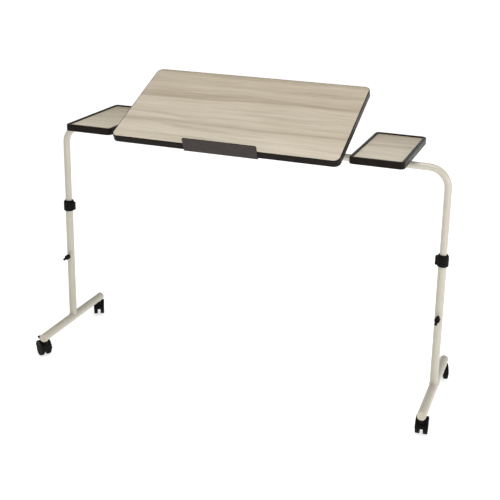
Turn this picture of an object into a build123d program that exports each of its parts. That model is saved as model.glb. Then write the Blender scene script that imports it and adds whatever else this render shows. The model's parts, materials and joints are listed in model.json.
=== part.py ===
from build123d import *
from math import cos, radians, sin
import os

# Bridging overbed table: two legs on casters, a tube that spans the bed between them,
# a tilting centre panel with a book stop, and a small rimmed tray on each side.
# Millimetres. X runs along the bridging tube, Y from front to back, Z up from the floor.
# Pieces are drawn with x = 0 midway between the legs and y = 0 in their plane. Every piece is moved
# by footprint_shift when it is written, which puts the origin in the middle of the footprint.

# ---- driving dimensions ----
leg_spacing = 1294.0        # between the axes of the two legs
tube_height = 775.5         # axis of the bridging tube above the floor
bend_radius = 60.0          # centre line of the tube's corner
footprint_shift = (13.5, -12.0, 0.0)

upper_diameter = 22.2
upper_wall = 1.5
upper_end_height = 220.0    # lower end of the sliding tube
lower_diameter = 25.4
lower_wall = 1.2
lower_top_height = 503.0    # top of the fixed leg tube, inside the collar
running_gap = 0.05          # radial clearance of every piece that slides or turns
close_gap = 0.3             # between pieces that face each other but don't touch
socket_share = 0.45         # a screw's hexagon socket against its head's radius
socket_depth_share = 0.6

bar_diameter = 28.0
bar_wall = 1.5
bar_length = 385.0          # over the end plugs
bar_height = 72.0           # axis above the floor

collar_diameter = 36.0
collar_height = 37.0
collar_overlap = 30.0       # how far the collar reaches down the fixed leg tube
knob_height = 306.0         # clamp knob above the floor

panel_tilt = 24.5           # slope of the panel in the stored position, degrees
panel_width = 731.6         # over the edge band
panel_depth = 371.0         # along the slope, over the edge band
panel_thickness = 22.5
panel_corner = 20.0
panel_rise = 7.5            # underside of the panel above the hinge axis
panel_overhang = 25.0       # front edge of the panel ahead of the hinge axis
band_thickness = 2.5
hinge_y = -158.6
hinge_z = 797.9

lip_width = 238.0
lip_height = 23.0           # book stop above the panel's surface
lip_thickness = 3.0

arm_x = 250.0               # cross arms either side of the middle
arm_width = 25.0
arm_depth = 13.0
arm_wall = 1.5
arm_front = -138.0
arm_back = 150.0

tray_x = 465.0              # middle of each tray
tray_width = 162.0
tray_depth = 328.0
tray_corner = 15.0
tray_top = 825.0            # top of the raised rim
rim_height = 21.0
rim_width = 10.0
rim_ledge = 4.0             # how far the rim reaches under the board
tray_board_top = 821.0
tray_board_thickness = 15.0

stem_y = 177.5              # caster stems in front of and behind the leg
stem_diameter = 8.0
wheel_diameter = 50.0
wheel_width = 13.2
wheel_inner_face = 5.2      # inner face of a wheel from the middle of its caster
axle_diameter = 6.0
trail = 18.0                # axle behind the stem
hood_radius = 28.5
pocket_radius = 26.3
hood_half_width = 19.0
web_half_width = 4.5
boss_top = 56.5             # top of the caster's stem boss

# ---- worked out from them ----
leg_x = leg_spacing / 2
upper_radius = upper_diameter / 2
lower_radius = lower_diameter / 2
bar_radius = bar_diameter / 2
wheel_radius = wheel_diameter / 2
tube_top = tube_height + upper_radius
arm_top = tube_top + arm_depth
sides = {"left": -1, "right": 1}

# which way each caster trails, in degrees from +X, and whether it has a brake pedal
casters = {
    "front_left": (-1, -1, 145.0, True),
    "front_right": (1, -1, 95.0, True),
    "rear_left": (-1, 1, 120.0, False),
    "rear_right": (1, 1, 108.0, False),
}


def save(builder, label):
    """Move a finished piece to the footprint's frame, name it and write it."""
    piece = builder.part.moved(Location(footprint_shift))
    piece.label = label
    export_step(piece, f"parts/{label}.step")


def along_x(x, y, z):
    """Plane square to X: its own x runs along Y, its own y up, its normal along +X."""
    return Plane(origin=(x, y, z), x_dir=(0, 1, 0), z_dir=(1, 0, 0))


def along_y(x, y, z):
    """Plane square to Y: its own x runs along X, its own y down, its normal along +Y."""
    return Plane(origin=(x, y, z), x_dir=(1, 0, 0), z_dir=(0, 1, 0))


def panel_plane(height):
    """Plane parallel to the panel, this far above the hinge axis, x along X, y up the slope."""
    slope = radians(panel_tilt)
    hinge = Plane(origin=(0, hinge_y, hinge_z), x_dir=(1, 0, 0), z_dir=(0, -sin(slope), cos(slope)))
    return hinge.offset(height)


def rod(plane, radius, length, mode=Mode.ADD):
    """Round bar that starts on a plane and runs along its normal."""
    with BuildSketch(plane) as section:
        Circle(radius)
    extrude(section.sketch, amount=length, mode=mode)


def screw(plane, shank_radius, shank_length, head_radius, head_height):
    """Pan-head screw with a hexagon socket: the plane lies under the head, normal along the shank."""
    rod(plane, shank_radius, shank_length)
    rod(plane, head_radius, -head_height)
    with BuildSketch(plane.offset(-head_height)) as socket:
        RegularPolygon(head_radius * socket_share, 6)
    extrude(socket.sketch, amount=head_height * socket_depth_share, mode=Mode.SUBTRACT)


def nut(plane, bore_radius, across_corners_radius, height):
    """Hexagon nut that starts on a plane and runs along its normal."""
    with BuildSketch(plane) as section:
        RegularPolygon(across_corners_radius, 6)
        Circle(bore_radius, mode=Mode.SUBTRACT)
    extrude(section.sketch, amount=height)


# ---- base: floor bar, end plugs, fixed leg tube, collar ----
socket_radius = 7.0
socket_bottom = 57.0
socket_top = 80.0
socket_spare = 1.0          # depth of the socket past the stem's end
stem_top = 77.0
plug_cap = 3.0
plug_round = 2.2
plug_spigot = 4.5
bar_half = bar_length / 2 - plug_cap


def make_base_bar(side):
    x = sides[side] * leg_x
    with BuildPart() as bar:
        with BuildSketch(along_y(x, -bar_half, bar_height)):
            Circle(bar_radius)
            Circle(bar_radius - bar_wall, mode=Mode.SUBTRACT)
        extrude(amount=2 * bar_half)
        # a bush welded through the underside near each end takes the caster's stem
        for end in (-1, 1):
            rod(Plane((x, end * stem_y, socket_bottom)), socket_radius, socket_top - socket_bottom)
        for end in (-1, 1):
            bore = Plane((x, end * stem_y, socket_bottom))
            depth = stem_top + socket_spare - socket_bottom
            rod(bore, stem_diameter / 2 + running_gap, depth, Mode.SUBTRACT)
    save(bar, f"{side}_base_bar")


def make_end_plugs(side):
    x = sides[side] * leg_x
    with BuildPart() as plugs:
        for end in (-1, 1):
            face = Plane(origin=(x, end * bar_half, bar_height), x_dir=(1, 0, 0), z_dir=(0, end, 0))
            rod(face, bar_radius - bar_wall - running_gap, -plug_spigot)
            rod(face, bar_radius, plug_cap)
        rims = plugs.edges().filter_by(GeomType.CIRCLE).group_by(Axis.Y)
        fillet(rims[0] + rims[-1], plug_round)
    save(plugs, f"{side}_bar_end_plugs")


knob_boss_radius = 8.0
knob_boss_face = 15.5       # front face of the clamp boss, ahead of the leg's axis
stud_radius = 4.0
stud_chamfer = 0.8


def make_lower_tube(side):
    x = sides[side] * leg_x
    inner_radius = lower_radius - lower_wall
    toward_front = Plane(origin=(x, 0, knob_height), x_dir=(1, 0, 0), z_dir=(0, -1, 0))
    with BuildPart() as tube:
        rod(Plane((x, 0, bar_height)), lower_radius, lower_top_height - bar_height)
        rod(toward_front, knob_boss_radius, knob_boss_face)
        rod(Plane((x, 0, bar_height)), inner_radius, lower_top_height - bar_height, Mode.SUBTRACT)
        # the foot is coped to sit on the floor bar
        rod(along_y(x, -bar_diameter, bar_height), bar_radius, 2 * bar_diameter, Mode.SUBTRACT)
        rod(toward_front, stud_radius + running_gap, knob_boss_face, Mode.SUBTRACT)
    save(tube, f"{side}_lower_tube")


collar_lug_reach = 5.0      # clamp lug on the collar's inner side, beyond its wall
collar_lug_width = 17.0
collar_lug_height = 26.0
collar_lug_corner = 4.0
collar_lug_root = 3.0       # how far the lug is sunk into the wall
collar_lug_rise = 4.0       # foot of the lug above the collar's foot
collar_slit = 1.6
collar_foot_step = 2.0      # chamfer round the collar's foot
collar_foot_rise = 3.0
collar_shoulder_step = 3.5  # chamfer round its top
collar_shoulder_drop = 6.0
finger_grooves = (10.0, 27.0)   # above the collar's foot
groove_depth = 0.8
groove_width = 2.0


def make_collar(side):
    x = sides[side] * leg_x
    low = lower_top_height - collar_overlap
    high = low + collar_height
    outer = collar_diameter / 2
    lug_root = outer - collar_lug_root
    lug_length = collar_lug_reach + collar_lug_root
    inward = -sides[side]
    with BuildPart() as collar:
        with BuildSketch(Plane(origin=(x, 0, 0), x_dir=(1, 0, 0), z_dir=(0, -1, 0))):
            with BuildLine():
                Polyline(
                    (lower_radius, low),
                    (outer - collar_foot_step, low),
                    (outer, low + collar_foot_rise),
                    (outer, high - collar_shoulder_drop),
                    (outer - collar_shoulder_step, high),
                    (upper_radius + running_gap, high),
                    (upper_radius + running_gap, lower_top_height),
                    (lower_radius, lower_top_height),
                    close=True,
                )
            make_face()
        revolve(axis=Axis((x, 0, 0), (0, 0, 1)))
        for groove in finger_grooves:
            with BuildSketch(Plane((x, 0, low + groove - groove_width / 2))):
                Circle(outer + 1.0)
                Circle(outer - groove_depth, mode=Mode.SUBTRACT)
            extrude(amount=groove_width, mode=Mode.SUBTRACT)
        with BuildSketch(Plane((x, 0, low + collar_lug_rise))) as lug:
            with Locations((inward * (lug_root + lug_length / 2), 0)):
                Rectangle(lug_length, collar_lug_width)
            fillet(lug.vertices().group_by(Axis.X)[-1 if inward > 0 else 0], collar_lug_corner)
        extrude(amount=collar_lug_height)
        with BuildSketch(Plane((x, 0, low))):
            with Locations((inward * (lug_root + lug_length), 0)):
                Rectangle(2 * collar_lug_reach, collar_slit)
        extrude(amount=collar_height, mode=Mode.SUBTRACT)
    save(collar, f"{side}_collar")


knob_gap = 0.5
knob_hub_radius = 8.4
knob_hub_length = 12.5
stud_grip = 9.0             # how far the stud reaches into the knob
wing_half_span = 16.5
wing_tip_radius = 5.2
wing_tip_height = 12.0      # middle of the rounded tip above the knob's face
wing_thickness = 7.6
wing_foot = 2.0             # underside of the wings above the knob's face
wing_foot_reach = 7.4       # where the underside starts to rise
wing_saddle = 7.0           # where the upper edge starts to rise
wing_hub_drop = 1.0         # upper edge below the hub's front
knob_round = 0.8
wing_turn = {"left": 40.0, "right": 78.0}   # which way the wings happen to point, degrees from level


def make_height_knob(side):
    """Wing knob of the height clamp."""
    face = (sides[side] * leg_x, -knob_boss_face - knob_gap, knob_height)
    hub = Plane(origin=face, x_dir=(1, 0, 0), z_dir=(0, -1, 0))
    turn = radians(wing_turn[side])
    # local x runs out along a wing, local y away from the leg
    along_wing = Plane(origin=face, x_dir=(cos(turn), 0, sin(turn)), z_dir=(sin(turn), 0, -cos(turn)))
    tip_x = wing_half_span - wing_tip_radius
    with BuildPart() as knob:
        rod(hub, knob_hub_radius, knob_hub_length)
        fillet(knob.faces().sort_by(Axis.Y)[0].edges(), knob_round)
        with BuildSketch(along_wing) as wings:
            for end in (-1, 1):
                with BuildLine():
                    Polyline(
                        (0, wing_foot),
                        (end * wing_foot_reach, wing_foot),
                        (end * tip_x, wing_tip_height - wing_tip_radius),
                        (end * tip_x, wing_tip_height + wing_tip_radius),
                        (end * wing_saddle, knob_hub_length - wing_hub_drop),
                        (0, knob_hub_length - wing_hub_drop),
                        close=True,
                    )
                make_face()
                with Locations((end * tip_x, wing_tip_height)):
                    Circle(wing_tip_radius)
        extrude(wings.sketch, amount=wing_thickness / 2, both=True)
        rod(hub, stud_radius, stud_grip, Mode.SUBTRACT)
    save(knob, f"{side}_height_knob")


def make_knob_stud(side):
    x = sides[side] * leg_x
    tip = upper_radius + close_gap
    length = knob_boss_face + knob_gap + stud_grip - tip
    with BuildPart() as stud:
        rod(Plane(origin=(x, -tip, knob_height), x_dir=(1, 0, 0), z_dir=(0, -1, 0)), stud_radius, length)
        chamfer(stud.faces().sort_by(Axis.Y)[-1].edges(), stud_chamfer)
    save(stud, f"{side}_knob_stud")


# ---- upper frame: bent tubes, joiner, glides, arms, saddles, hinge lugs ----
joiner_half = 80.0
joiner_wall = 2.0
joint_screw_x = 40.0
small_bore = 2.55           # hole for a 5 mm screw
saddle_thickness = 2.0
saddle_width = 24.0
saddle_reach = 29.0
saddle_screw_y = 21.5
saddle_x = [-tray_x, -arm_x, arm_x, tray_x]
frame_bore = 3.05           # hole for a 6 mm screw
glide_head = 8.0
glide_spigot = 15.0
arm_corner = 2.0
cap_thickness = 2.5
cap_plug = 12.0
cap_round = 1.0
press_ease = 0.1            # how much narrower a plug is than the tube it's pressed into
lug_tongue = 25.0           # how far the hinge lug reaches into its arm

# shank radius, shank length, head radius, head height
frame_screw = (3.0, 10.0, 5.2, 3.2)
joint_screw = (2.5, 6.0, 4.5, 2.6)
tray_screw = (2.0, 12.0, 3.8, 2.2)
panel_screw = (2.0, 12.0, 3.8, 2.0)
# bore radius, radius over the corners, height
frame_nut = (3.0, 5.6, 5.0)
hinge_nut = (2.5, 4.6, 5.0)
pilot_radius = 2.0          # hole that a wood screw fills
plate_bore = 2.05           # hole in the metal under a wood screw's head


def make_upper_tube(side):
    x = sides[side] * leg_x
    with BuildPart() as tube:
        with BuildLine(Plane.XZ):
            FilletPolyline((x, upper_end_height), (x, tube_height), (0, tube_height), radius=bend_radius)
        with BuildSketch(Plane((x, 0, upper_end_height))):
            Circle(upper_radius)
            Circle(upper_radius - upper_wall, mode=Mode.SUBTRACT)
        sweep()
        below = Plane((sides[side] * joint_screw_x, 0, tube_height))
        rod(below, small_bore, -2 * upper_radius, Mode.SUBTRACT)
    save(tube, f"{side}_upper_tube")


def make_joiner():
    outer = upper_radius - upper_wall - running_gap
    with BuildPart() as joiner:
        with BuildSketch(along_x(-joiner_half, 0, tube_height)):
            Circle(outer)
            Circle(outer - joiner_wall, mode=Mode.SUBTRACT)
        extrude(amount=2 * joiner_half)
        for end in (-1, 1):
            axis = Plane((end * joint_screw_x, 0, tube_height))
            rod(axis, small_bore, -2 * upper_radius, Mode.SUBTRACT)
    save(joiner, "tube_joiner")


def make_glides():
    with BuildPart() as glides:
        for end in (-1, 1):
            foot = Plane((end * leg_x, 0, upper_end_height))
            rod(foot, lower_radius - lower_wall - running_gap, -glide_head)
            rod(foot, upper_radius - upper_wall - running_gap, glide_spigot)
    save(glides, "tube_glides")


def make_cross_arm(side):
    x = sides[side] * arm_x
    middle = tube_top + arm_depth / 2
    with BuildPart() as arm:
        with BuildSketch(along_y(x, arm_front, middle)):
            RectangleRounded(arm_width, arm_depth, arm_corner)
            Rectangle(arm_width - 2 * arm_wall, arm_depth - 2 * arm_wall, mode=Mode.SUBTRACT)
        extrude(amount=arm_back - arm_front)
        for end in (-1, 1):
            below = Plane((x, end * saddle_screw_y, tube_top - arm_wall))
            rod(below, frame_bore, 3 * arm_wall, Mode.SUBTRACT)
    save(arm, f"{side}_cross_arm")


plug_width = arm_width - 2 * arm_wall - press_ease
plug_height = arm_depth - 2 * arm_wall - press_ease


def make_arm_caps():
    middle = tube_top + arm_depth / 2
    with BuildPart() as caps:
        for end in (-1, 1):
            back = along_y(end * arm_x, arm_back, middle)
            with BuildSketch(back):
                RectangleRounded(arm_width, arm_depth, arm_corner)
            extrude(amount=cap_thickness)
            with BuildSketch(back):
                Rectangle(plug_width, plug_height)
            extrude(amount=-cap_plug)
        fillet(caps.faces().group_by(Axis.Y)[-1].edges(), cap_round)
    save(caps, "arm_end_caps")


lug_nose = 5.2              # radius of the lug round the hinge bolt
hinge_bolt_radius = 2.5


def make_hinge_lug(side):
    x = sides[side] * arm_x
    middle = tube_top + arm_depth / 2
    with BuildPart() as lug:
        with BuildSketch(along_y(x, arm_front, middle)):
            Rectangle(plug_width, plug_height)
        extrude(amount=lug_tongue)
        with BuildSketch(along_x(x, 0, 0)):
            with BuildLine():
                Polyline(
                    (arm_front, tube_top),
                    (arm_front, arm_top),
                    (hinge_y, hinge_z + lug_nose),
                    (hinge_y, hinge_z - lug_nose),
                    close=True,
                )
            make_face()
            with Locations((hinge_y, hinge_z)):
                Circle(lug_nose)
        extrude(amount=arm_width / 2, both=True)
        across = along_x(x - arm_width, hinge_y, hinge_z)
        rod(across, hinge_bolt_radius + running_gap, 2 * arm_width, Mode.SUBTRACT)
    save(lug, f"{side}_hinge_lug")


def make_saddles():
    """Straps that hold the cross arms and the tray brackets down on the bridging tube."""
    outer = upper_radius + saddle_thickness
    leg_middle = upper_radius + saddle_thickness / 2
    flange_middle = (upper_radius + saddle_reach) / 2
    with BuildPart() as saddles:
        for x in saddle_x:
            with BuildSketch(along_x(x, 0, tube_height)):
                Circle(outer)
                Circle(upper_radius, mode=Mode.SUBTRACT)
                with Locations((0, outer)):
                    Rectangle(2 * outer, 2 * outer, mode=Mode.SUBTRACT)
                for end in (-1, 1):
                    with Locations((end * leg_middle, upper_radius / 2)):
                        Rectangle(saddle_thickness, upper_radius)
                    with Locations((end * flange_middle, upper_radius - saddle_thickness / 2)):
                        Rectangle(saddle_reach - upper_radius, saddle_thickness)
            extrude(amount=saddle_width / 2, both=True)
            for end in (-1, 1):
                hole = Plane((x, end * saddle_screw_y, tube_top - 2 * saddle_thickness))
                rod(hole, frame_bore, 3 * saddle_thickness, Mode.SUBTRACT)
    save(saddles, "tube_saddles")


tray_bracket_width = 50.0
tray_plate = 2.0
board_underside = tray_board_top - tray_board_thickness
tray_screw_x = 15.0
tray_screw_y = 72.0


def make_frame_screws():
    """Screws and nuts of the saddles, the joiner's two screws and the screws under the trays."""
    under_flange = tube_top - saddle_thickness
    with BuildPart() as screws:
        for x in saddle_x:
            grip = arm_wall if abs(x) == arm_x else tray_plate
            for end in (-1, 1):
                screw(Plane((x, end * saddle_screw_y, under_flange)), *frame_screw)
                nut(Plane((x, end * saddle_screw_y, tube_top + grip)), *frame_nut)
        for end in (-1, 1):
            screw(Plane((end * joint_screw_x, 0, tube_height - upper_radius)), *joint_screw)
    save(screws, "frame_screws")


def make_tray_screws():
    with BuildPart() as screws:
        for x in (-tray_x, tray_x):
            for x_offset in (-tray_screw_x, tray_screw_x):
                for y in (-tray_screw_y, tray_screw_y):
                    screw(Plane((x + x_offset, y, board_underside - tray_plate)), *tray_screw)
    save(screws, "tray_screws")


# ---- side trays ----
rim_top_round = 3.5
rim_foot_round = 1.2
rim_inner_round = 2.5


def tray_outline(side, height, inset):
    """Rounded rectangle of a tray on a level plane, drawn in from the rim's outer face."""
    with BuildSketch(Plane((sides[side] * tray_x, 0, height))) as outline:
        RectangleRounded(tray_width - 2 * inset, tray_depth - 2 * inset, tray_corner - inset)
    return outline.sketch


def make_tray_rim(side):
    """Raised edging with a ledge under the board."""
    low = tray_top - rim_height
    ledge = board_underside - low
    with BuildPart() as rim:
        extrude(tray_outline(side, low, 0.0), amount=rim_height)
        fillet(rim.faces().sort_by(Axis.Z)[-1].edges(), rim_top_round)
        fillet(rim.faces().sort_by(Axis.Z)[0].edges(), rim_foot_round)
        opening = tray_outline(side, board_underside, rim_width)
        extrude(opening, amount=rim_height - ledge, mode=Mode.SUBTRACT)
        fillet(rim.faces().sort_by(Axis.Z)[-1].inner_wires()[0].edges(), rim_inner_round)
        extrude(tray_outline(side, low, rim_width + rim_ledge), amount=ledge, mode=Mode.SUBTRACT)
    save(rim, f"{side}_tray_rim")


def make_tray_board(side):
    outline = tray_outline(side, board_underside, rim_width + running_gap)
    with BuildPart() as board:
        extrude(outline, amount=tray_board_thickness)
        for x_offset in (-tray_screw_x, tray_screw_x):
            for y in (-tray_screw_y, tray_screw_y):
                spot = Plane((sides[side] * tray_x + x_offset, y, board_underside))
                rod(spot, pilot_radius, tray_screw[1] - tray_plate, Mode.SUBTRACT)
    save(board, f"{side}_tray_board")


def make_tray_bracket(side):
    """Hat-shaped strip from the tube up to the underside of the tray's board."""
    x = sides[side] * tray_x
    foot_end = 36.0
    shoulder = 46.0
    reach = 92.0
    lean = 1.2              # sideways thickness of the sloping web less the plate's own
    with BuildPart() as bracket:
        for end in (-1, 1):
            with BuildSketch(along_x(x, 0, 0)):
                with BuildLine():
                    Polyline(
                        (0, tube_top),
                        (end * foot_end, tube_top),
                        (end * shoulder, board_underside - tray_plate),
                        (end * reach, board_underside - tray_plate),
                        (end * reach, board_underside),
                        (end * (shoulder - lean), board_underside),
                        (end * (foot_end - lean), tube_top + tray_plate),
                        (0, tube_top + tray_plate),
                        close=True,
                    )
                make_face()
            extrude(amount=tray_bracket_width / 2, both=True)
            rod(Plane((x, end * saddle_screw_y, tube_top)), frame_bore, tray_plate, Mode.SUBTRACT)
            for x_offset in (-tray_screw_x, tray_screw_x):
                spot = Plane((x + x_offset, end * tray_screw_y, board_underside))
                rod(spot, plate_bore, -tray_plate, Mode.SUBTRACT)
    save(bracket, f"{side}_tray_bracket")


# ---- tilting panel ----
panel_top = panel_rise + panel_thickness
panel_middle = panel_depth / 2 - panel_overhang
leaf_plate = 2.0
leaf_back = 115.0
leaf_front = -10.0
leaf_screw_spots = [38.0, 70.0, 102.0]
lip_foot_back = -4.0
lip_screw_u = -12.0
lip_screw_x = [-90.0, 0.0, 90.0]
ear_gap = 1.1               # room for a friction washer between lug and ear
ear_thickness = 3.0
washer_radius = 5.0
ear_radius = 6.5
leaf_corner = 3.0
band_round = 1.5
lip_corner = 6.0
bolt_head_radius = 4.4
bolt_head_height = 3.0
bolt_socket_radius = 2.2
bolt_socket_depth = 2.0
bolt_tail = 6.0             # past the outer face of the ear
pad_radius = 7.0
pad_spots = (20.0, 125.0)
pad_round = 1.5


def panel_outline(height, inset):
    """Rounded rectangle of the panel on a plane parallel to it, in from the edge band's outer face."""
    with BuildSketch(panel_plane(height)) as outline:
        with Locations((0, panel_middle)):
            RectangleRounded(panel_width - 2 * inset, panel_depth - 2 * inset, panel_corner - inset)
    return outline.sketch


def panel_screw_spots():
    """Where screws enter the panel's underside, as (x, distance up the slope)."""
    leaves = [(end * arm_x, u) for end in (-1, 1) for u in leaf_screw_spots]
    return leaves + [(x, lip_screw_u) for x in lip_screw_x]


def make_panel_board():
    with BuildPart() as board:
        extrude(panel_outline(panel_rise, band_thickness), amount=panel_thickness)
        for spot in panel_screw_spots():
            with BuildSketch(panel_plane(panel_rise)):
                with Locations(spot):
                    Circle(pilot_radius)
            extrude(amount=panel_screw[1] - leaf_plate, mode=Mode.SUBTRACT)
    save(board, "panel_board")


def make_edge_band():
    with BuildPart() as band:
        extrude(panel_outline(panel_rise, 0.0), amount=panel_thickness)
        upright = Axis((0, hinge_y, hinge_z), tuple(panel_plane(0).z_dir))
        ends = band.faces().sort_by(upright)
        fillet(ends[0].edges() + ends[-1].edges(), band_round)
        extrude(panel_outline(panel_rise, band_thickness), amount=panel_thickness, mode=Mode.SUBTRACT)
    save(band, "panel_edge_band")


def make_book_stop():
    front = -panel_overhang - lip_thickness
    wall_height = leaf_plate + panel_thickness + lip_height
    low = panel_rise - leaf_plate
    with BuildPart() as stop:
        wall = Plane(
            origin=panel_plane(low).from_local_coords((0, front, 0)),
            x_dir=(1, 0, 0),
            z_dir=-panel_plane(0).y_dir,
        )
        with BuildSketch(wall) as face:
            with Locations((0, wall_height / 2)):
                Rectangle(lip_width, wall_height)
            fillet(face.vertices().group_by(Axis.Y)[-1], lip_corner)
        extrude(amount=-lip_thickness)
        with BuildSketch(panel_plane(low)):
            with Locations((0, (front + lip_foot_back) / 2)):
                Rectangle(lip_width, lip_foot_back - front)
        extrude(amount=leaf_plate)
        for x in lip_screw_x:
            with BuildSketch(panel_plane(low)):
                with Locations((x, lip_screw_u)):
                    Circle(plate_bore)
            extrude(amount=leaf_plate, mode=Mode.SUBTRACT)
    save(stop, "book_stop")


def make_hinge_leaf(side):
    x = sides[side] * arm_x
    low = panel_rise - leaf_plate
    inner = arm_width / 2 + ear_gap
    half_width = inner + ear_thickness
    with BuildPart() as leaf:
        with BuildSketch(panel_plane(low)):
            with Locations((x, (leaf_front + leaf_back) / 2)):
                RectangleRounded(2 * half_width, leaf_back - leaf_front, leaf_corner)
        extrude(amount=leaf_plate)
        for end in (-1, 1):
            ear = Plane(
                origin=(x + end * inner, hinge_y, hinge_z),
                x_dir=panel_plane(0).y_dir,
                z_dir=(1, 0, 0),
            )
            with BuildSketch(ear):
                Circle(ear_radius)
                with Locations((0, low / 2)):
                    Rectangle(2 * ear_radius, low)
            extrude(amount=end * ear_thickness)
            rod(ear, hinge_bolt_radius, end * ear_thickness, Mode.SUBTRACT)
        for u in leaf_screw_spots:
            with BuildSketch(panel_plane(low)):
                with Locations((x, u)):
                    Circle(plate_bore)
            extrude(amount=leaf_plate, mode=Mode.SUBTRACT)
    save(leaf, f"{side}_hinge_leaf")


def make_hinge_bolts():
    """Hinge bolts with their nuts and friction washers, one set in each pair of ears."""
    outside = arm_width / 2 + ear_gap + ear_thickness
    with BuildPart() as bolts:
        for side in sides.values():
            x = side * arm_x
            under_head = (x + side * outside, hinge_y, hinge_z)
            start = Plane(origin=under_head, x_dir=(0, 1, 0), z_dir=(-side, 0, 0))
            rod(start, hinge_bolt_radius, 2 * outside + bolt_tail)
            rod(start, bolt_head_radius, -bolt_head_height)
            with BuildSketch(start.offset(-bolt_head_height)):
                RegularPolygon(bolt_socket_radius, 6)
            extrude(amount=bolt_socket_depth, mode=Mode.SUBTRACT)
            nut(start.offset(2 * outside), *hinge_nut)
            for end in (-1, 1):
                face = along_x(x + end * (arm_width / 2 + running_gap), hinge_y, hinge_z)
                with BuildSketch(face):
                    Circle(washer_radius)
                    Circle(hinge_bolt_radius, mode=Mode.SUBTRACT)
                extrude(amount=end * (ear_gap - running_gap))
    save(bolts, "hinge_bolts")


def make_panel_screws():
    with BuildPart() as screws:
        for x, u in panel_screw_spots():
            under_plate = panel_plane(panel_rise - leaf_plate)
            spot = Plane(
                origin=under_plate.from_local_coords((x, u, 0)),
                x_dir=(1, 0, 0),
                z_dir=under_plate.z_dir,
            )
            screw(spot, *panel_screw)
    save(screws, "panel_screws")


def make_rest_pads():
    """Rubber bumpers on the arms, under the panel when it lies level."""
    with BuildPart() as pads:
        for x in (-arm_x, arm_x):
            for y in pad_spots:
                rod(Plane((x, y, arm_top)), pad_radius, hinge_z + panel_rise - close_gap - arm_top)
        fillet(pads.edges().group_by(Axis.Z)[-1], pad_round)
    save(pads, "rest_pads")


# ---- casters ----
def caster_frame(corner):
    """Floor plane under a caster's stem, its own x pointing the way the caster trails."""
    across, along, heading, _ = casters[corner]
    return Plane(
        origin=(across * leg_x, along * stem_y, 0),
        x_dir=(cos(radians(heading)), sin(radians(heading)), 0),
        z_dir=(0, 0, 1),
    )


def upright(frame, x, offset, z):
    """Plane square to a caster's axle, its own x along the trail, its own y up."""
    return Plane(
        origin=frame.from_local_coords((x, offset, z)),
        x_dir=frame.x_dir,
        z_dir=-frame.y_dir,
    )


pedal_x = 30.0              # pedal pivot behind the stem
pedal_z = 46.0
pedal_pin_radius = 1.5
blade_half = 3.0
blade_radius = 4.0
slot_half = 3.3
slot_radius = 4.6
slot_height = 12.0
tread_low = 8.0             # underside of the pedal's tread above its pivot
tread_high = 10.6
tread_forward = 8.0         # middle of the tread behind the pivot
tread_length = 24.0
tread_width = 22.0
tread_corner = 4.0
stem_bottom = 44.0
stem_boss_radius = 8.0
stem_chamfer = 1.0
web_radius = 10.0
hood_round = 1.5
hood_skirt = 2.0            # open edge of the hood above the axle


def make_hood(corner):
    frame = caster_frame(corner)
    middle = upright(frame, trail, 0, wheel_radius)
    with BuildPart() as hood:
        with BuildSketch(middle):
            Circle(hood_radius)
            with Locations((0, hood_skirt - hood_radius)):
                Rectangle(2 * hood_radius, 2 * hood_radius, mode=Mode.SUBTRACT)
        extrude(amount=hood_half_width, both=True)
        fillet(hood.edges().filter_by(GeomType.CIRCLE), hood_round)
        with BuildSketch(middle):
            Circle(web_radius)
        extrude(amount=web_half_width, both=True)
        rod(frame.offset(stem_bottom), stem_boss_radius, boss_top - stem_bottom)
        for end in (-1, 1):
            pocket = upright(frame, trail, end * web_half_width, wheel_radius)
            rod(pocket, pocket_radius, -end * 2 * hood_half_width, Mode.SUBTRACT)
        rod(frame.offset(stem_bottom), stem_diameter / 2, boss_top - stem_bottom, Mode.SUBTRACT)
        with BuildSketch(middle):
            Circle(axle_diameter / 2)
        extrude(amount=web_half_width, both=True, mode=Mode.SUBTRACT)
        if casters[corner][3]:
            pivot = upright(frame, pedal_x, 0, pedal_z)
            with BuildSketch(pivot):
                Circle(slot_radius)
                with Locations((0, slot_height / 2)):
                    Rectangle(2 * slot_radius, slot_height)
            extrude(amount=slot_half, both=True, mode=Mode.SUBTRACT)
            with BuildSketch(pivot):
                Circle(pedal_pin_radius + running_gap)
            extrude(amount=web_half_width, both=True, mode=Mode.SUBTRACT)
    save(hood, f"{corner}_caster_hood")


def make_stem(corner):
    frame = caster_frame(corner)
    with BuildPart() as stem:
        rod(frame.offset(stem_bottom), stem_diameter / 2, stem_top - stem_bottom)
        chamfer(stem.faces().sort_by(Axis.Z)[-1].edges(), stem_chamfer)
    save(stem, f"{corner}_caster_stem")


axle_half = 16.7


def make_axle(corner):
    frame = caster_frame(corner)
    with BuildPart() as axle:
        with BuildSketch(upright(frame, trail, 0, wheel_radius)):
            Circle(axle_diameter / 2)
        extrude(amount=axle_half, both=True)
    save(axle, f"{corner}_caster_axle")


tread_round = 2.5           # shoulders of a wheel
bore_spare = 0.5            # depth of a wheel's bore past the axle's end
dish_radius = 18.5
dish_depth = 2.0
hub_cap_radius = 8.0


def make_wheel(corner, name, end):
    frame = caster_frame(corner)
    inner = upright(frame, trail, end * wheel_inner_face, wheel_radius)
    outer = upright(frame, trail, end * (wheel_inner_face + wheel_width), wheel_radius)
    with BuildPart() as wheel:
        rod(inner, wheel_radius, -end * wheel_width)
        fillet(wheel.edges().filter_by(GeomType.CIRCLE), tread_round)
        # dished outer face round a flat hub cap
        with BuildSketch(outer):
            Circle(dish_radius)
            Circle(hub_cap_radius, mode=Mode.SUBTRACT)
        extrude(amount=end * dish_depth, mode=Mode.SUBTRACT)
        bore_depth = axle_half + bore_spare - wheel_inner_face
        rod(inner, axle_diameter / 2 + running_gap, -end * bore_depth, Mode.SUBTRACT)
    save(wheel, f"{corner}_{name}_wheel")


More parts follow.
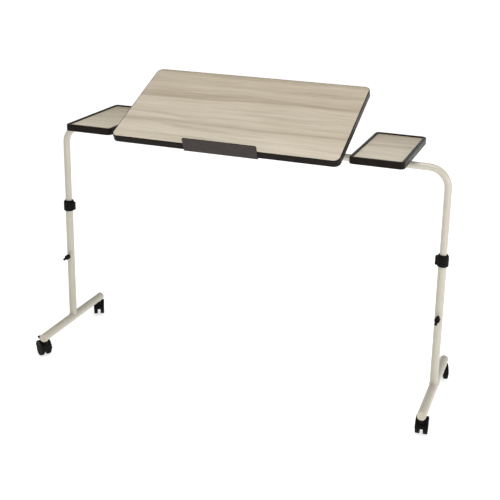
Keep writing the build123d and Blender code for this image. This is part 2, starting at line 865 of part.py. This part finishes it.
def make_pedal(corner):
    frame = caster_frame(corner)
    pivot = upright(frame, pedal_x, 0, pedal_z)
    with BuildPart() as pedal:
        with BuildSketch(pivot):
            Circle(blade_radius)
            with Locations((0, tread_high / 2)):
                Rectangle(2 * blade_radius, tread_high)
        extrude(amount=blade_half, both=True)
        with BuildSketch(pivot):
            Circle(pedal_pin_radius)
        extrude(amount=web_half_width - running_gap, both=True)
        with BuildSketch(frame.offset(pedal_z + tread_low)):
            with Locations((pedal_x + tread_forward, 0)):
                RectangleRounded(tread_length, tread_width, tread_corner)
        extrude(amount=tread_high - tread_low)
    save(pedal, f"{corner}_brake_pedal")


# ---- build every piece ----
os.makedirs("parts", exist_ok=True)

for side in sides:
    make_base_bar(side)
    make_end_plugs(side)
    make_lower_tube(side)
    make_collar(side)
    make_height_knob(side)
    make_knob_stud(side)
    make_upper_tube(side)
    make_cross_arm(side)
    make_hinge_lug(side)
    make_tray_rim(side)
    make_tray_board(side)
    make_tray_bracket(side)
    make_hinge_leaf(side)

make_joiner()
make_glides()
make_arm_caps()
make_saddles()
make_frame_screws()
make_tray_screws()
make_rest_pads()
make_panel_board()
make_edge_band()
make_book_stop()
make_hinge_bolts()
make_panel_screws()

for corner in casters:
    make_hood(corner)
    make_stem(corner)
    make_axle(corner)
    make_wheel(corner, "inner", -1)
    make_wheel(corner, "outer", 1)
    if casters[corner][3]:
        make_pedal(corner)
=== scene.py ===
import json
import math

import bmesh
import bpy
from mathutils import Matrix, Vector


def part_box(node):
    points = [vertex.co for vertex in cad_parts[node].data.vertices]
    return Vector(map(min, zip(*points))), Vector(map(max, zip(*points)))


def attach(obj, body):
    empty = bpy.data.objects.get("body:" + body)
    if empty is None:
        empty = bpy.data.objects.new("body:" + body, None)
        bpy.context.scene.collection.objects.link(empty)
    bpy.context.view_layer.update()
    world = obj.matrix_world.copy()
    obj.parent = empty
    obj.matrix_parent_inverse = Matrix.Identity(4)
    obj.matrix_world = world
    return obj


# Looks of the bridging overbed table. The CAD frame gives every place; metres throughout.
# Materials are procedural and read object coordinates, which stay with a piece when it moves.

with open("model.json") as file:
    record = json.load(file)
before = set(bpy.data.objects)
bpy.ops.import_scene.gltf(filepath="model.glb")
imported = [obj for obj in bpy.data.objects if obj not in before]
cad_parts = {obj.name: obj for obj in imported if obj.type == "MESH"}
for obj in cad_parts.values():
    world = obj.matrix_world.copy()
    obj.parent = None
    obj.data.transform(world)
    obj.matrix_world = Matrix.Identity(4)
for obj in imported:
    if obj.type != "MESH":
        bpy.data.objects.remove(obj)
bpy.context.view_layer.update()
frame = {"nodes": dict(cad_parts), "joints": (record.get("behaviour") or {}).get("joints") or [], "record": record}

# ---- places and sizes, from the frame where it gives them ----
SIDES = ("left", "right")
JOINTS = {joint["name"]: joint for joint in frame["joints"]}
HINGE = Vector(JOINTS["panel_tilt"]["pos_m"])
PANEL_TILT = math.radians(24.5)
PANEL_UNDERSIDE = 0.0075        # height of the panel's underside above the hinge axis
PANEL_OVERHANG = 0.025          # front edge of the panel ahead of the hinge axis
PANEL_DEPTH = 0.371
STEM_AHEAD = 0.1775             # front caster stems ahead of the legs
LEG_X = {side: sum(corner.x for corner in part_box(f"{side}_lower_tube")) / 2 for side in SIDES}
MIDDLE_X = (LEG_X["left"] + LEG_X["right"]) / 2
LEG_PLANE_Y = JOINTS["front_left_swivel"]["pos_m"][1] + STEM_AHEAD
BAR_HEIGHT = 0.072              # axis of a floor bar
BAR_RADIUS = 0.014
LEG_RADIUS = 0.0127
COLLAR_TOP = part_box("left_collar")[1].z
WHITE = (1.0, 1.0, 1.0)


# ======================================================================
# Shader helpers
# ======================================================================
class Shader:
    """A material under construction: makes nodes and joins them by name."""

    def __init__(self, name):
        self.material = bpy.data.materials.new(name)
        self.material.use_nodes = True
        self.tree = self.material.node_tree
        self.surface = self.tree.nodes["Principled BSDF"]
        self.place = self.tree.nodes.new("ShaderNodeTexCoord").outputs["Object"]

    def node(self, kind, values=None, **settings):
        made = self.tree.nodes.new(kind)
        for key, value in settings.items():
            setattr(made, key, value)
        for socket, value in (values or {}).items():
            if isinstance(value, bpy.types.NodeSocket):
                self.tree.links.new(value, made.inputs[socket])
            else:
                made.inputs[socket].default_value = value
        return made

    def stretch(self, scale, location=(0, 0, 0), source=None):
        values = {"Vector": source or self.place, "Scale": scale, "Location": location}
        return self.node("ShaderNodeMapping", values).outputs["Vector"]

    def noise(self, vector, scale, detail=3.0, roughness=0.55):
        values = {"Vector": vector, "Scale": scale, "Detail": detail, "Roughness": roughness}
        return self.node("ShaderNodeTexNoise", values).outputs["Fac"]

    def span(self, value, low, high, to_low=0.0, to_high=1.0):
        """Carry a value from one range to another and hold it inside the second."""
        values = {"Value": value, "From Min": low, "From Max": high, "To Min": to_low, "To Max": to_high}
        return self.node("ShaderNodeMapRange", values, clamp=True).outputs["Result"]

    def math(self, operation, first, second=0.0):
        return self.node("ShaderNodeMath", {0: first, 1: second}, operation=operation).outputs[0]

    def axis(self, vector, letter):
        return self.node("ShaderNodeSeparateXYZ", {0: vector}).outputs[letter]

    def blend(self, factor, first, second):
        """Mix two colours, given as RGB tuples or sockets."""
        made = self.tree.nodes.new("ShaderNodeMix")
        made.data_type = "RGBA"
        made.clamp_factor = True
        for name, value in (("Factor_Float", factor), ("A_Color", first), ("B_Color", second)):
            socket = next(s for s in made.inputs if s.identifier == name)
            if isinstance(value, bpy.types.NodeSocket):
                self.tree.links.new(value, socket)
            elif name == "Factor_Float":
                socket.default_value = value
            else:
                socket.default_value = (*value, 1.0)
        return next(s for s in made.outputs if s.identifier == "Result_Color")

    def bump(self, height, strength, distance, below=None):
        """Bumped normal, laid over another one if below is given."""
        values = {"Height": height, "Strength": strength, "Distance": distance}
        if below is not None:
            values["Normal"] = below
        return self.node("ShaderNodeBump", values).outputs["Normal"]

    def worn_edges(self, radius, low=0.03, high=0.22):
        """Mask of the convex and concave edges, broken up so that it reads as rubbing."""
        soft = self.node("ShaderNodeBevel", {"Radius": radius}, samples=4).outputs["Normal"]
        hard = self.node("ShaderNodeNewGeometry").outputs["Normal"]
        alike = self.node("ShaderNodeVectorMath", {0: soft, 1: hard}, operation="DOT_PRODUCT")
        turned = self.math("SUBTRACT", 1.0, alike.outputs["Value"])
        patchy = self.span(self.noise(self.place, 120.0, detail=4.0), 0.42, 0.62)
        return self.math("MULTIPLY", self.span(turned, low, high), patchy)

    def put(self, socket, value):
        """Set one of the surface's sockets, or link it."""
        target = self.surface.inputs[socket]
        if isinstance(value, bpy.types.NodeSocket):
            self.tree.links.new(value, target)
        else:
            target.default_value = (*value, 1.0) if isinstance(value, tuple) else value


# ======================================================================
# Materials: noise scales are per metre, bump distances and bevel radii in metres
# ======================================================================
LIGHT_WOOD = (0.640, 0.585, 0.480)
MIDDLE_WOOD = (0.570, 0.512, 0.405)
DARK_WOOD = (0.330, 0.270, 0.190)
PALE_WOOD = (0.700, 0.640, 0.530)
PORE_WOOD = (0.230, 0.175, 0.115)


def powder_coat():
    """Cream powder coat: fine orange peel, faint grime, rub marks where the tubes slide into the collars."""
    s = Shader("cream_powder_coat")
    grime = s.noise(s.place, 9.0, detail=5.0)
    speck = s.noise(s.place, 420.0, detail=2.0)
    colour = s.blend(s.span(grime, 0.35, 0.75), (0.518, 0.487, 0.410), (0.480, 0.447, 0.370))
    colour = s.blend(s.span(speck, 0.66, 0.72, 0.0, 0.35), colour, (0.44, 0.41, 0.34))
    streaks = s.noise(s.stretch((520.0, 520.0, 9.0)), 1.0, detail=2.0)
    height = s.axis(s.place, "Z")
    above_collar = s.span(height, COLLAR_TOP + 0.005, COLLAR_TOP + 0.020)
    fading = s.span(height, COLLAR_TOP + 0.090, COLLAR_TOP + 0.035)
    rubbed = s.math("MULTIPLY", above_collar, fading)
    rubbed = s.math("MULTIPLY", rubbed, s.span(streaks, 0.56, 0.68))
    colour = s.blend(s.math("MULTIPLY", rubbed, 0.45), colour, (0.42, 0.40, 0.36))
    worn = s.worn_edges(0.0012)
    colour = s.blend(s.math("MULTIPLY", worn, 0.5), colour, (0.36, 0.33, 0.28))
    s.put("Base Color", colour)
    s.put("Roughness", s.span(grime, 0.3, 0.8, 0.34, 0.50))
    peel = s.noise(s.place, 900.0, detail=2.0)
    s.put("Normal", s.bump(peel, 0.20, 0.0004, s.bump(s.noise(s.place, 260.0), 0.10, 0.0006)))
    s.put("Coat Weight", 0.18)
    s.put("Coat Roughness", 0.22)
    return s.material


def moulded_plastic(name, dark, pale, rough, grain, grain_depth, shine=0.08):
    """Injection-moulded plastic with a spark-eroded grain, uneven gloss and dust in the grain."""
    s = Shader(name)
    cloud = s.noise(s.place, 34.0, detail=5.0)
    dust = s.noise(s.place, 650.0, detail=3.0)
    colour = s.blend(s.span(cloud, 0.3, 0.75), dark, pale)
    lint = s.math("MULTIPLY", s.span(dust, 0.62, 0.80, 0.0, 0.5), s.span(cloud, 0.45, 0.7))
    colour = s.blend(lint, colour, tuple(min(1.0, 3.0 * c + 0.012) for c in pale))
    worn = s.worn_edges(0.0010)
    colour = s.blend(s.math("MULTIPLY", worn, 0.55), colour, tuple(1.25 * c + 0.014 for c in pale))
    s.put("Base Color", colour)
    gloss = s.span(cloud, 0.3, 0.75, rough - 0.07, rough + 0.08)
    s.put("Roughness", s.math("SUBTRACT", gloss, s.math("MULTIPLY", worn, 0.08)))
    s.put("Normal", s.bump(s.noise(s.place, grain, detail=3.0), 0.35, grain_depth))
    s.put("Specular IOR Level", shine)
    return s.material


# Figure lines of the laminate's print: middle of the line as a share of the board's depth from its
# front edge, rise of that share per metre of X, fade towards the front and the back, darkness.
PANEL_FIGURE = (
    (0.995, 0.000, 0.060, 0.030, 1.00),
    (0.630, 0.060, 0.022, 0.150, 0.78),
    (0.265, 0.030, 0.060, 0.070, 0.56),
    (0.840, -0.050, 0.050, 0.080, 0.26),
    (0.440, 0.080, 0.030, 0.060, 0.18),
)
TRAY_FIGURE = (
    (0.99, 0.00, 0.420, 0.040, 1.00),
    (0.52, 0.35, 0.060, 0.200, 0.55),
    (0.22, -0.20, 0.050, 0.090, 0.26),
)


def board_place(s, tilt, origin):
    """Coordinates on a board: X along the grain, Y from front to back, Z through its thickness."""
    shifted = s.node("ShaderNodeVectorMath", {0: s.place, 1: tuple(origin)}, operation="SUBTRACT")
    turn = {"Vector": shifted.outputs[0], "Angle": -tilt, "Axis": (1.0, 0.0, 0.0)}
    return s.node("ShaderNodeVectorRotate", turn, rotation_type="AXIS_ANGLE").outputs["Vector"]


def figure_lines(s, x, share, figure):
    """Soft dark lines of the print, each with a sharper front side."""
    figured = None
    for middle_share, rise, fade_front, fade_back, darkness in figure:
        line = s.math("ADD", s.math("MULTIPLY", x, rise), middle_share)
        off = s.math("SUBTRACT", share, line)
        ahead = s.span(off, -fade_front, 0.0)
        behind = s.span(off, fade_back, 0.0)
        here = s.math("MULTIPLY", s.math("MULTIPLY", ahead, behind), darkness)
        figured = here if figured is None else s.math("MAXIMUM", figured, here)
    return figured


def backing_sheet(s):
    """Plain flecked sheet on the underside of a board."""
    fleck = s.noise(s.place, 480.0, detail=2.0)
    return s.blend(s.span(fleck, 0.4, 0.7), (0.43, 0.405, 0.350), (0.37, 0.345, 0.295))


def wood_laminate(name, tilt, origin, front, depth, underside, seed, figure):
    """Greige wood-print laminate on top, its grain along X, and a plain sheet on the underside."""
    s = Shader(name)
    board = board_place(s, tilt, origin)
    moved = s.stretch((1.0, 1.0, 1.0), location=(seed, seed * 0.37, 0.0), source=board)
    flow = s.noise(s.stretch((1.5, 7.0, 1.0), source=moved), 1.0, detail=2.0)
    wander = s.node(
        "ShaderNodeCombineXYZ", {"X": 0.0, "Y": s.span(flow, 0.3, 0.7, -0.012, 0.012), "Z": 0.0}
    ).outputs[0]
    grain = s.node("ShaderNodeVectorMath", {0: moved, 1: wander}, operation="ADD").outputs[0]

    wide = s.noise(s.stretch((1.3, 22.0, 1.0), source=grain), 1.0, detail=4.0, roughness=0.6)
    middle = s.noise(s.stretch((2.6, 60.0, 1.0), source=grain), 1.0, detail=5.0, roughness=0.65)
    fine = s.noise(s.stretch((7.0, 380.0, 1.0), source=grain), 1.0, detail=4.0, roughness=0.65)
    pores = s.noise(s.stretch((45.0, 1500.0, 1.0), source=grain), 1.0, detail=2.0)

    x = s.axis(board, "X")
    share = s.span(s.axis(board, "Y"), front, front + depth)
    share = s.math("ADD", share, s.span(flow, 0.3, 0.7, -0.022, 0.022))
    figured = figure_lines(s, x, share, figure)
    figured = s.math("MULTIPLY", figured, s.span(middle, 0.30, 0.60, 0.55, 1.0))

    colour = s.blend(s.span(wide, 0.34, 0.68), LIGHT_WOOD, MIDDLE_WOOD)
    # Painted shade: the top is blended towards dark wood towards the back edge and towards +X, standing in for
    # light falling off across the board.
    painted_shade_ramp = s.math("ADD", share, s.math("MULTIPLY", x, 0.5))
    colour = s.blend(s.span(painted_shade_ramp, 0.0, 1.0, 0.0, 0.46), colour, DARK_WOOD)
    colour = s.blend(figured, colour, DARK_WOOD)
    colour = s.blend(s.span(middle, 0.48, 0.70, 0.0, 0.52), colour, DARK_WOOD)
    colour = s.blend(s.span(fine, 0.52, 0.72, 0.0, 0.50), colour, DARK_WOOD)
    colour = s.blend(s.span(fine, 0.46, 0.30, 0.0, 0.42), colour, PALE_WOOD)
    pore_mask = s.math("MULTIPLY", s.span(pores, 0.62, 0.70), s.span(middle, 0.42, 0.62, 0.25, 1.0))
    colour = s.blend(s.math("MULTIPLY", pore_mask, 0.5), colour, PORE_WOOD)

    is_under = s.span(s.axis(board, "Z"), underside + 0.0004, underside + 0.0002)
    s.put("Base Color", s.blend(is_under, colour, backing_sheet(s)))
    s.put("Roughness", s.span(middle, 0.35, 0.7, 0.40, 0.54))
    s.put("Specular IOR Level", 0.35)
    ticking = s.bump(pore_mask, -0.30, 0.00025)
    s.put("Normal", s.bump(fine, 0.12, 0.0003, ticking))
    return s.material


def zinc_plate():
    """Bright zinc with passivation tint and fine draw lines."""
    s = Shader("zinc_plate")
    cloud = s.noise(s.place, 55.0, detail=5.0)
    lines = s.noise(s.stretch((40.0, 2200.0, 2200.0)), 1.0, detail=2.0)
    colour = s.blend(s.span(cloud, 0.35, 0.7), (0.60, 0.61, 0.62), (0.52, 0.515, 0.49))
    s.put("Base Color", s.blend(s.span(lines, 0.6, 0.8, 0.0, 0.3), colour, (0.36, 0.36, 0.36)))
    s.put("Metallic", 1.0)
    s.put("Roughness", s.span(cloud, 0.3, 0.75, 0.30, 0.48))
    s.put("Normal", s.bump(lines, 0.10, 0.0002))
    return s.material


def tread_rubber():
    """Caster wheels: dark polymer, scuffed and dusty in patches."""
    s = Shader("caster_tread")
    cloud = s.noise(s.place, 70.0, detail=5.0)
    scuff = s.noise(s.place, 900.0, detail=3.0)
    colour = s.blend(s.span(cloud, 0.3, 0.75), (0.0030, 0.0030, 0.0029), (0.0060, 0.0058, 0.0055))
    dusty = s.math("MULTIPLY", s.span(scuff, 0.52, 0.75, 0.0, 0.5), s.span(cloud, 0.4, 0.7))
    s.put("Base Color", s.blend(dusty, colour, (0.040, 0.037, 0.033)))
    s.put("Specular IOR Level", 0.08)
    s.put("Roughness", s.span(scuff, 0.3, 0.7, 0.50, 0.68))
    s.put("Normal", s.bump(scuff, 0.30, 0.0003))
    return s.material


def soft_rubber():
    """Matt rubber of the rest pads."""
    s = Shader("rest_pad_rubber")
    grain = s.noise(s.place, 1200.0, detail=3.0)
    s.put("Base Color", s.blend(s.span(grain, 0.35, 0.7), (0.030, 0.030, 0.030), (0.055, 0.053, 0.050)))
    s.put("Roughness", s.span(grain, 0.3, 0.7, 0.72, 0.85))
    s.put("Normal", s.bump(grain, 0.4, 0.0003))
    return s.material


COAT = powder_coat()
BLACK = moulded_plastic(
    "black_moulding", (0.0030, 0.0027, 0.0024), (0.0058, 0.0052, 0.0046), 0.42, 1700.0, 0.0004
)
RIM = moulded_plastic("rim_edging", (0.008, 0.006, 0.005), (0.013, 0.010, 0.0085), 0.34, 1100.0, 0.0003)
STOP = moulded_plastic(
    "book_stop_moulding", (0.019, 0.0125, 0.0105), (0.029, 0.0205, 0.0175), 0.36, 1500.0, 0.0004, 0.32
)
CREAM = moulded_plastic("cream_moulding", (0.55, 0.51, 0.41), (0.51, 0.47, 0.38), 0.45, 1400.0, 0.0003)
NYLON = moulded_plastic("natural_nylon", (0.70, 0.70, 0.66), (0.64, 0.64, 0.60), 0.40, 900.0, 0.0002, 0.5)
ZINC = zinc_plate()
TREAD = tread_rubber()
PAD = soft_rubber()
PANEL_WOOD = wood_laminate(
    "panel_laminate", PANEL_TILT, HINGE, -PANEL_OVERHANG, PANEL_DEPTH, PANEL_UNDERSIDE, 3.1, PANEL_FIGURE
)


def tray_laminate(side, seed):
    """The same laminate on a tray's board, with its own stretch of the print."""
    low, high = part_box(f"{side}_tray_board")
    middle = ((low.x + high.x) / 2, low.y, 0.0)
    name = f"{side}_tray_laminate"
    return wood_laminate(name, 0.0, middle, 0.0, high.y - low.y, low.z, seed, TRAY_FIGURE)


TRAY_WOOD = {"left": tray_laminate("left", 7.7), "right": tray_laminate("right", 12.9)}

BY_SLOT = {
    "painted_steel": COAT,
    "cream_plastic": CREAM,
    "black_plastic": BLACK,
    "black_rim": RIM,
    "caster_tread": TREAD,
    "zinc_steel": ZINC,
    "nylon": NYLON,
    "rubber_pad": PAD,
}


def dress(node_name, material):
    """Give a CAD node its material."""
    mesh = frame["nodes"][node_name].data
    mesh.materials.clear()
    mesh.materials.append(material)


def dress_cad_nodes():
    for subpart in frame["record"]["subparts"]:
        material = BY_SLOT.get(subpart["material_slot"])
        if material is not None:
            dress(subpart["node"], material)
    dress("panel_board", PANEL_WOOD)
    dress("book_stop", STOP)
    for side in SIDES:
        dress(f"{side}_tray_board", TRAY_WOOD[side])


# ======================================================================
# Mesh helpers
# ======================================================================
def mesh_object(name, bm, material, smooth=True):
    """Finish a bmesh as a named object."""
    bmesh.ops.recalc_face_normals(bm, faces=bm.faces)
    data = bpy.data.meshes.new(name)
    bm.to_mesh(data)
    bm.free()
    for face in data.polygons:
        face.use_smooth = smooth
    data.materials.append(material)
    piece = bpy.data.objects.new(name, data)
    bpy.context.scene.collection.objects.link(piece)
    return piece


def closed_tube(bm, centres, radii, across, sides=10):
    """Tube round a closed run of points; across gives each point's two section directions."""
    rings = []
    for centre, radius, (first, second) in zip(centres, radii, across):
        ring = []
        for k in range(sides):
            turn = 2 * math.pi * k / sides
            ring.append(bm.verts.new(centre + radius * (math.cos(turn) * first + math.sin(turn) * second)))
        rings.append(ring)
    for i, ring in enumerate(rings):
        following = rings[(i + 1) % len(rings)]
        for k in range(sides):
            after = (k + 1) % sides
            bm.faces.new((ring[k], ring[after], following[after], following[k]))


# ======================================================================
# Weld beads where the legs meet their floor bars
# ======================================================================
WELD_STEPS = 276
WELD_RIPPLES = 46
WELD_RADIUS = 0.0019
WELD_LIFT = 0.0004              # middle of the bead above the bar's surface


def weld_bead(name, points, body):
    """Rippled fillet weld along a closed run of points."""
    count = len(points)
    bm = bmesh.new()
    across, radii = [], []
    for i in range(count):
        along = (points[(i + 1) % count] - points[i - 1]).normalized()
        first = along.cross(Vector((0, 0, 1))).normalized()
        across.append((first, along.cross(first)))
        ripple = abs(math.sin(math.pi * WELD_RIPPLES * i / count))
        radii.append(WELD_RADIUS * (0.86 + 0.14 * ripple + 0.05 * math.sin(5.0 * i / count)))
    closed_tube(bm, points, radii, across)
    bead = mesh_object(name, bm, COAT)
    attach(bead, body)


def make_welds():
    for side in SIDES:
        foot = []
        for i in range(WELD_STEPS):
            turn = 2 * math.pi * i / WELD_STEPS
            off_x = LEG_RADIUS * math.cos(turn)
            off_y = LEG_RADIUS * math.sin(turn)
            z = BAR_HEIGHT + math.sqrt(BAR_RADIUS ** 2 - off_x ** 2)
            foot.append(Vector((LEG_X[side] + off_x, LEG_PLANE_Y + off_y, z + WELD_LIFT)))
        weld_bead(f"{side}_foot_weld", foot, f"{side}_base")


# ======================================================================
# Stage: floor, lights, camera
# ======================================================================
FLOOR_HALF = 14.0
BACKDROP_TOP = math.radians(10.0)       # the backdrop is white up to this elevation
DIM_ABOVE = math.radians(18.0)          # and has faded to its overhead brightness at this one
OVERHEAD = 0.18                         # brightness overhead against the backdrop's
LAMP_WHITE = (1.0, 0.985, 0.96)


def make_floor():
    """Pale floor with a faint glow of its own, so that it stays white under the table."""
    s = Shader("studio_floor")
    tone = s.noise(s.place, 1.5, detail=2.0)
    s.put("Base Color", s.blend(s.span(tone, 0.3, 0.7), (0.78, 0.78, 0.78), (0.80, 0.80, 0.80)))
    s.put("Roughness", 0.8)
    s.put("Specular IOR Level", 0.2)
    s.put("Emission Color", WHITE)
    away = s.node("ShaderNodeVectorMath", {0: s.place}, operation="LENGTH").outputs["Value"]
    s.put("Emission Strength", s.span(away, 1.2, 4.5, 0.69, 0.85))
    bm = bmesh.new()
    bmesh.ops.create_grid(bm, x_segments=8, y_segments=8, size=FLOOR_HALF)
    floor = mesh_object("floor", bm, s.material, smooth=False)


def area_light(name, place, target, size, power, colour=WHITE):
    data = bpy.data.lights.new(name, "AREA")
    data.shape = "RECTANGLE"
    data.size, data.size_y = size
    data.energy = power
    data.color = colour
    lamp = bpy.data.objects.new(name, data)
    lamp.location = place
    lamp.rotation_euler = (Vector(target) - Vector(place)).to_track_quat("-Z", "Y").to_euler()
    bpy.context.scene.collection.objects.link(lamp)


def make_backdrop():
    """White backdrop round the horizon, dimmer overhead."""
    world = bpy.data.worlds.new("studio")
    world.use_nodes = True
    tree = world.node_tree
    background = tree.nodes["Background"]
    background.inputs["Color"].default_value = (*WHITE, 1.0)
    direction = tree.nodes.new("ShaderNodeTexCoord").outputs["Generated"]
    upward = tree.nodes.new("ShaderNodeSeparateXYZ")
    fade = tree.nodes.new("ShaderNodeMapRange")
    fade.inputs["From Min"].default_value = math.sin(BACKDROP_TOP)
    fade.inputs["From Max"].default_value = math.sin(DIM_ABOVE)
    fade.inputs["To Min"].default_value = 1.0
    fade.inputs["To Max"].default_value = OVERHEAD
    tree.links.new(direction, upward.inputs[0])
    tree.links.new(upward.outputs["Z"], fade.inputs["Value"])
    tree.links.new(fade.outputs["Result"], background.inputs["Strength"])
    bpy.context.scene.world = world


def make_lights():
    """Large soft key overhead, a weak side light from the right, and a little light from behind."""
    middle = (0.0, 0.0, 0.6)
    area_light("key", (0.15, -0.55, 3.4), (0.1, -0.1, 0.5), (2.0, 2.0), 61.0, LAMP_WHITE)
    area_light("side", (2.6, -1.2, 1.1), (0.7, 0.0, 0.5), (0.9, 0.9), 25.0)
    area_light("back_rim", (0.4, 2.6, 2.6), middle, (2.2, 1.2), 10.0)


CAMERA_PLACE = Vector((1.0421, -2.6355, 1.5242))    # from the floor midway between the legs
CAMERA_PITCH, CAMERA_YAW, CAMERA_ROLL = (math.radians(angle) for angle in (-15.4, 20.4, 1.1))
CAMERA_LENS = 66.989            # millimetres, on a sensor 36 mm wide
CAMERA_SHIFT = (-0.0238, -0.1888)


def make_camera():
    """Long-lens three-quarter view from the front right, a little above the panel."""
    pitch, yaw, roll = CAMERA_PITCH, CAMERA_YAW, CAMERA_ROLL
    data = bpy.data.cameras.new("camera")
    data.sensor_width = 36.0
    data.lens = CAMERA_LENS
    data.shift_x, data.shift_y = CAMERA_SHIFT
    data.clip_end = 60.0
    camera = bpy.data.objects.new("camera", data)
    camera.location = CAMERA_PLACE + Vector((MIDDLE_X, LEG_PLANE_Y, 0.0))
    forward = Vector((-math.sin(yaw) * math.cos(pitch), math.cos(yaw) * math.cos(pitch), math.sin(pitch)))
    right = Vector((math.cos(yaw), math.sin(yaw), 0.0))
    up = right.cross(forward)
    right, up = (
        right * math.cos(roll) + up * math.sin(roll),
        up * math.cos(roll) - right * math.sin(roll),
    )
    turned = Matrix((right, up, -forward)).transposed().to_4x4()
    camera.matrix_world = Matrix.Translation(camera.location) @ turned
    bpy.context.scene.collection.objects.link(camera)
    bpy.context.scene.camera = camera


dress_cad_nodes()
make_welds()
make_floor()
make_backdrop()
make_lights()
make_camera()

settings = bpy.context.scene.view_settings
settings.view_transform = "Standard"
settings.look = "None"
